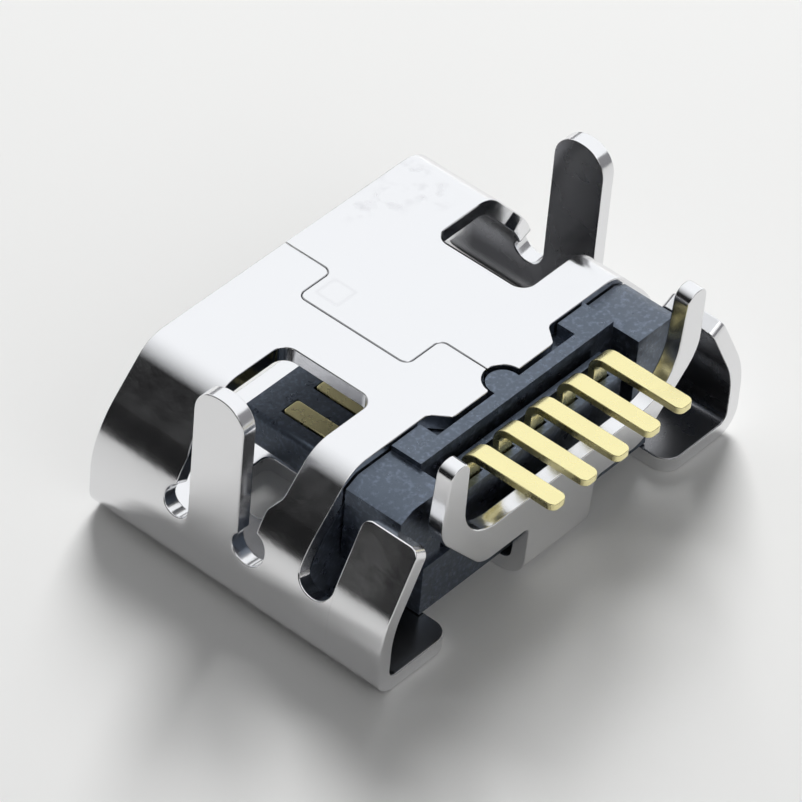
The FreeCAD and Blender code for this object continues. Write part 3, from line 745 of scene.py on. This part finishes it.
def square_mark(tree, parts, centre, half, width):
    """One along the outline of a small upright square on the narrow plate."""
    sides = []
    for axis, middle in (("X", centre[0] + MOUTH.x), ("Y", centre[1] + MOUTH.y)):
        offset = combine(tree, "SUBTRACT", parts.outputs[axis], middle)
        sides.append(combine(tree, "ABSOLUTE", offset, 0.0))
    size = tree.nodes.new("ShaderNodeMath")
    size.operation = "SMOOTH_MAX"
    size.inputs[2].default_value = half * 0.5
    tree.links.new(sides[0], size.inputs[0])
    tree.links.new(sides[1], size.inputs[1])
    away = combine(tree, "ABSOLUTE", combine(tree, "SUBTRACT", size.outputs[0], half), 0.0)
    return spread(tree, away, 1.0, 0.0, 0.0, width)


def worn_places(tree, vector, parts):
    """One where the plating of the narrow plate is worn or marked."""
    height = spread(tree, parts.outputs["Z"], 0.0, 1.0, *PLATE_HEIGHTS)
    scuffed = 0.0
    for centre, reach in SCUFFS:
        scuffed = combine(tree, "MAXIMUM", scuffed, near_point(tree, parts, centre, reach))
    patches = spread(tree, noise(tree, vector, 3.6, 5), 0.0, 1.0, 0.50, 0.66)
    scuffs = combine(tree, "MULTIPLY", combine(tree, "MULTIPLY", scuffed, patches), height)
    square = square_mark(tree, parts, SQUARE_CENTRE, SQUARE_HALF, SQUARE_LINE)
    mark = combine(tree, "MULTIPLY", square, height)
    return combine(tree, "MAXIMUM", scuffs, combine(tree, "MULTIPLY", mark, 0.35))


def inner_shade(tree, parts):
    """How much painted shade darkens the inner side of the sheet, on its walls behind the mouth and
    on its feet; the same share makes it rougher.
    """
    inside = tree.nodes.new("ShaderNodeAttribute")
    inside.attribute_name = "inside"
    above_plate = spread(tree, parts.outputs["Z"], 0.0, 0.9, 0.30, 0.55)
    behind_mouth = spread(tree, parts.outputs["Y"], 0.0, 1.0, -2.85, -2.45)
    walls = combine(tree, "MULTIPLY", above_plate, behind_mouth)
    feet = spread(tree, parts.outputs["Y"], 0.0, 0.8, 1.1, 1.4)
    return combine(tree, "MULTIPLY", inside.outputs["Fac"], combine(tree, "MAXIMUM", walls, feet))


def plated_steel():
    """Bright plating with scuffs on the narrow plate, with painted shade darkening the inner side,
    which is also rougher.
    """
    material, shader = new_material("plated_steel", STEEL, 1.0, 0.16)
    tree = material.node_tree
    vector = millimetre_coordinates(tree)
    parts = tree.nodes.new("ShaderNodeSeparateXYZ")
    tree.links.new(vector, parts.inputs["Vector"])
    worn = worn_places(tree, vector, parts)
    # share of painted shade on the inner side of the sheet
    shade = inner_shade(tree, parts)
    outer = color_mix(tree, combine(tree, "MULTIPLY", worn, 0.5), STEEL, SCUFFED_STEEL)
    # painted shade: the inner side's colour is mixed towards SHADED_STEEL
    tree.links.new(color_mix(tree, shade, outer, SHADED_STEEL), shader.inputs["Base Color"])
    smooth = spread(tree, noise(tree, vector, 1.6, 4), 0.14, 0.20)
    rough = combine(tree, "ADD", smooth, combine(tree, "MULTIPLY", worn, 0.25))
    rougher = combine(tree, "ADD", rough, combine(tree, "MULTIPLY", shade, 0.12))
    tree.links.new(rougher, shader.inputs["Roughness"])
    add_bump(tree, shader, noise(tree, vector, 9.0, 2), 0.25, 0.000004)
    return material


def black_plastic():
    """Black moulding compound with a bluish sheen and a fine pale grain."""
    material, shader = new_material("black_plastic", PLASTIC, 0.0, 0.42)
    shader.inputs["IOR"].default_value = 1.74
    shader.inputs["Specular IOR Level"].default_value = 1.0
    shader.inputs["Specular Tint"].default_value = PLASTIC_SHEEN
    tree = material.node_tree
    vector = millimetre_coordinates(tree)
    grain = spread(tree, noise(tree, vector, 15.0, 3), 0.0, 1.0, 0.50, 0.72)
    tree.links.new(color_mix(tree, grain, PLASTIC, PALE_GRAIN), shader.inputs["Base Color"])
    rough = spread(tree, noise(tree, vector, 5.0, 5), 0.26, 0.42)
    tree.links.new(rough, shader.inputs["Roughness"])
    add_bump(tree, shader, noise(tree, vector, 18.0, 4), 0.35, 0.00001)
    return material


def gold_plating():
    """Pale gold with a slightly uneven polish."""
    material, shader = new_material("gold_plating", GOLD, 1.0, 0.24)
    tree = material.node_tree
    vector = millimetre_coordinates(tree)
    rough = spread(tree, noise(tree, vector, 4.0, 3), 0.20, 0.34)
    tree.links.new(rough, shader.inputs["Roughness"])
    return material


# Stage, in metres
FLOOR_COLOR = (0.90, 0.90, 0.89)
FLOOR_REACH = 0.4
SOFTBOX_OUTLINE = [(-0.50, 0.0), (-0.26, 0.12), (0.20, 0.12)]
SOFTBOX_REACH = (-0.36, 0.12)
SOFTBOX_FADE = (-0.04, 0.185)
SOFTBOX_STRENGTH = 1.15
SOFTBOX_COLOR = (0.965, 0.982, 1.0, 1)
WORLD_STRENGTH = 0.14
MIRRORED_COLOR = (0.96, 0.96, 1.0, 1)
MIRRORED_STRENGTHS = (0.28, 0.012)
MIRRORED_FADE = (-0.2, 0.45)

# Camera of the photograph: its place from the mouth in millimetres, and yaw, pitch and roll
CAMERA_PLACE = Vector((47.996, 38.831, 55.947))
CAMERA_ANGLES = (127.2626, 42.2456, 5.3971)
CAMERA_LENS = 273.2
CAMERA_SHIFT = (-0.00975, -0.00814)


def area_light(name, direction, distance, size, energy):
    """Square soft light that faces the part from a direction."""
    light = bpy.data.lights.new(name, "AREA")
    light.shape = "SQUARE"
    light.size = size
    light.energy = energy
    holder = bpy.data.objects.new(name, light)
    away = Vector(direction).normalized()
    holder.location = away * distance
    holder.rotation_euler = away.to_track_quat("Z", "Y").to_euler()
    bpy.context.scene.collection.objects.link(holder)
    return holder


def add_softbox():
    """Large soft panel over the part, down to the floor at -X and fading out towards +X.

    Reflections and the camera see it, but it throws no light on plain surfaces.
    """
    corners = [(x, y, z) for x, z in SOFTBOX_OUTLINE for y in SOFTBOX_REACH]
    mesh = bpy.data.meshes.new("softbox")
    mesh.from_pydata(corners, [], [(0, 1, 3, 2), (2, 3, 5, 4)])
    panel = new_piece("softbox", mesh)
    panel.visible_diffuse = False
    panel.visible_shadow = False
    material = bpy.data.materials.new("softbox")
    material.use_nodes = True
    tree = material.node_tree
    tree.nodes.clear()
    place = tree.nodes.new("ShaderNodeTexCoord")
    parts = tree.nodes.new("ShaderNodeSeparateXYZ")
    fade = tree.nodes.new("ShaderNodeMapRange")
    fade.interpolation_type = "SMOOTHSTEP"
    fade.inputs["From Min"].default_value = SOFTBOX_FADE[0]
    fade.inputs["From Max"].default_value = SOFTBOX_FADE[1]
    fade.inputs["To Min"].default_value = SOFTBOX_STRENGTH
    fade.inputs["To Max"].default_value = 0.0
    glow = tree.nodes.new("ShaderNodeEmission")
    glow.inputs["Color"].default_value = SOFTBOX_COLOR
    result = tree.nodes.new("ShaderNodeOutputMaterial")
    tree.links.new(place.outputs["Object"], parts.inputs["Vector"])
    tree.links.new(parts.outputs["X"], fade.inputs["Value"])
    tree.links.new(fade.outputs["Result"], glow.inputs["Strength"])
    tree.links.new(glow.outputs["Emission"], result.inputs["Surface"])
    mesh.materials.append(material)


def add_world():
    """Even pale light; reflections see a grey that fades from -X to nearly black at +X."""
    world = bpy.data.worlds.new("studio")
    bpy.context.scene.world = world
    world.use_nodes = True
    tree = world.node_tree
    even = tree.nodes["Background"]
    even.inputs["Color"].default_value = (1.0, 1.0, 1.0, 1)
    even.inputs["Strength"].default_value = WORLD_STRENGTH
    mirrored = tree.nodes.new("ShaderNodeBackground")
    mirrored.inputs["Color"].default_value = MIRRORED_COLOR
    place = tree.nodes.new("ShaderNodeTexCoord")
    parts = tree.nodes.new("ShaderNodeSeparateXYZ")
    tree.links.new(place.outputs["Generated"], parts.inputs["Vector"])
    fading = spread(tree, parts.outputs["X"], *MIRRORED_STRENGTHS, *MIRRORED_FADE)
    tree.links.new(fading, mirrored.inputs["Strength"])
    mix = tree.nodes.new("ShaderNodeMixShader")
    ray = tree.nodes.new("ShaderNodeLightPath")
    tree.links.new(ray.outputs["Is Glossy Ray"], mix.inputs["Fac"])
    tree.links.new(even.outputs["Background"], mix.inputs[1])
    tree.links.new(mirrored.outputs["Background"], mix.inputs[2])
    tree.links.new(mix.outputs["Shader"], tree.nodes["World Output"].inputs["Surface"])


def add_floor():
    """Plain pale floor under the part."""
    size = FLOOR_REACH
    corners = [(-size, -size, 0), (size, -size, 0), (size, size, 0), (-size, size, 0)]
    mesh = bpy.data.meshes.new("floor")
    mesh.from_pydata(corners, [], [(0, 1, 2, 3)])
    floor = new_piece("floor", mesh)
    mesh.materials.append(new_material("floor", FLOOR_COLOR, 0.0, 0.6)[0])


def add_camera():
    """Camera with the viewing angle and the framing of the photograph."""
    yaw, pitch, roll = (math.radians(angle) for angle in CAMERA_ANGLES)
    across = math.cos(pitch)
    look = Vector((-math.sin(yaw) * across, math.cos(yaw) * across, -math.sin(pitch)))
    level = look.cross(Vector((0, 0, 1))).normalized()
    upright = level.cross(look)
    right = math.cos(roll) * level + math.sin(roll) * upright
    up = -math.sin(roll) * level + math.cos(roll) * upright
    camera = bpy.data.cameras.new("camera")
    camera.sensor_width = 36.0
    camera.lens = CAMERA_LENS
    camera.shift_x, camera.shift_y = CAMERA_SHIFT
    camera.clip_start = 0.005
    camera.clip_end = 5.0
    holder = bpy.data.objects.new("camera", camera)
    turn = Matrix((right, up, -look)).transposed().to_4x4()
    holder.matrix_world = Matrix.Translation((CAMERA_PLACE + MOUTH) * MM) @ turn
    bpy.context.scene.collection.objects.link(holder)
    bpy.context.scene.camera = holder


def main():
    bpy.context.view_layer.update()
    steel = plated_steel()
    plastic = black_plastic()
    gold = gold_plating()
    build_shell().data.materials.append(steel)
    housing = build_housing()
    housing.data.materials.clear()
    housing.data.materials.append(plastic)
    build_contacts(gold)
    add_world()
    add_floor()
    add_camera()
    add_softbox()
    key = area_light("key", (-0.589, -0.448, 0.58), distance=0.2, size=0.09, energy=0.455)
    key.visible_glossy = False
    area_light("behind", (0.3, 1.0, 0.9), distance=0.14, size=0.08, energy=0.02)
    bpy.context.scene.view_settings.view_transform = "Standard"


main()
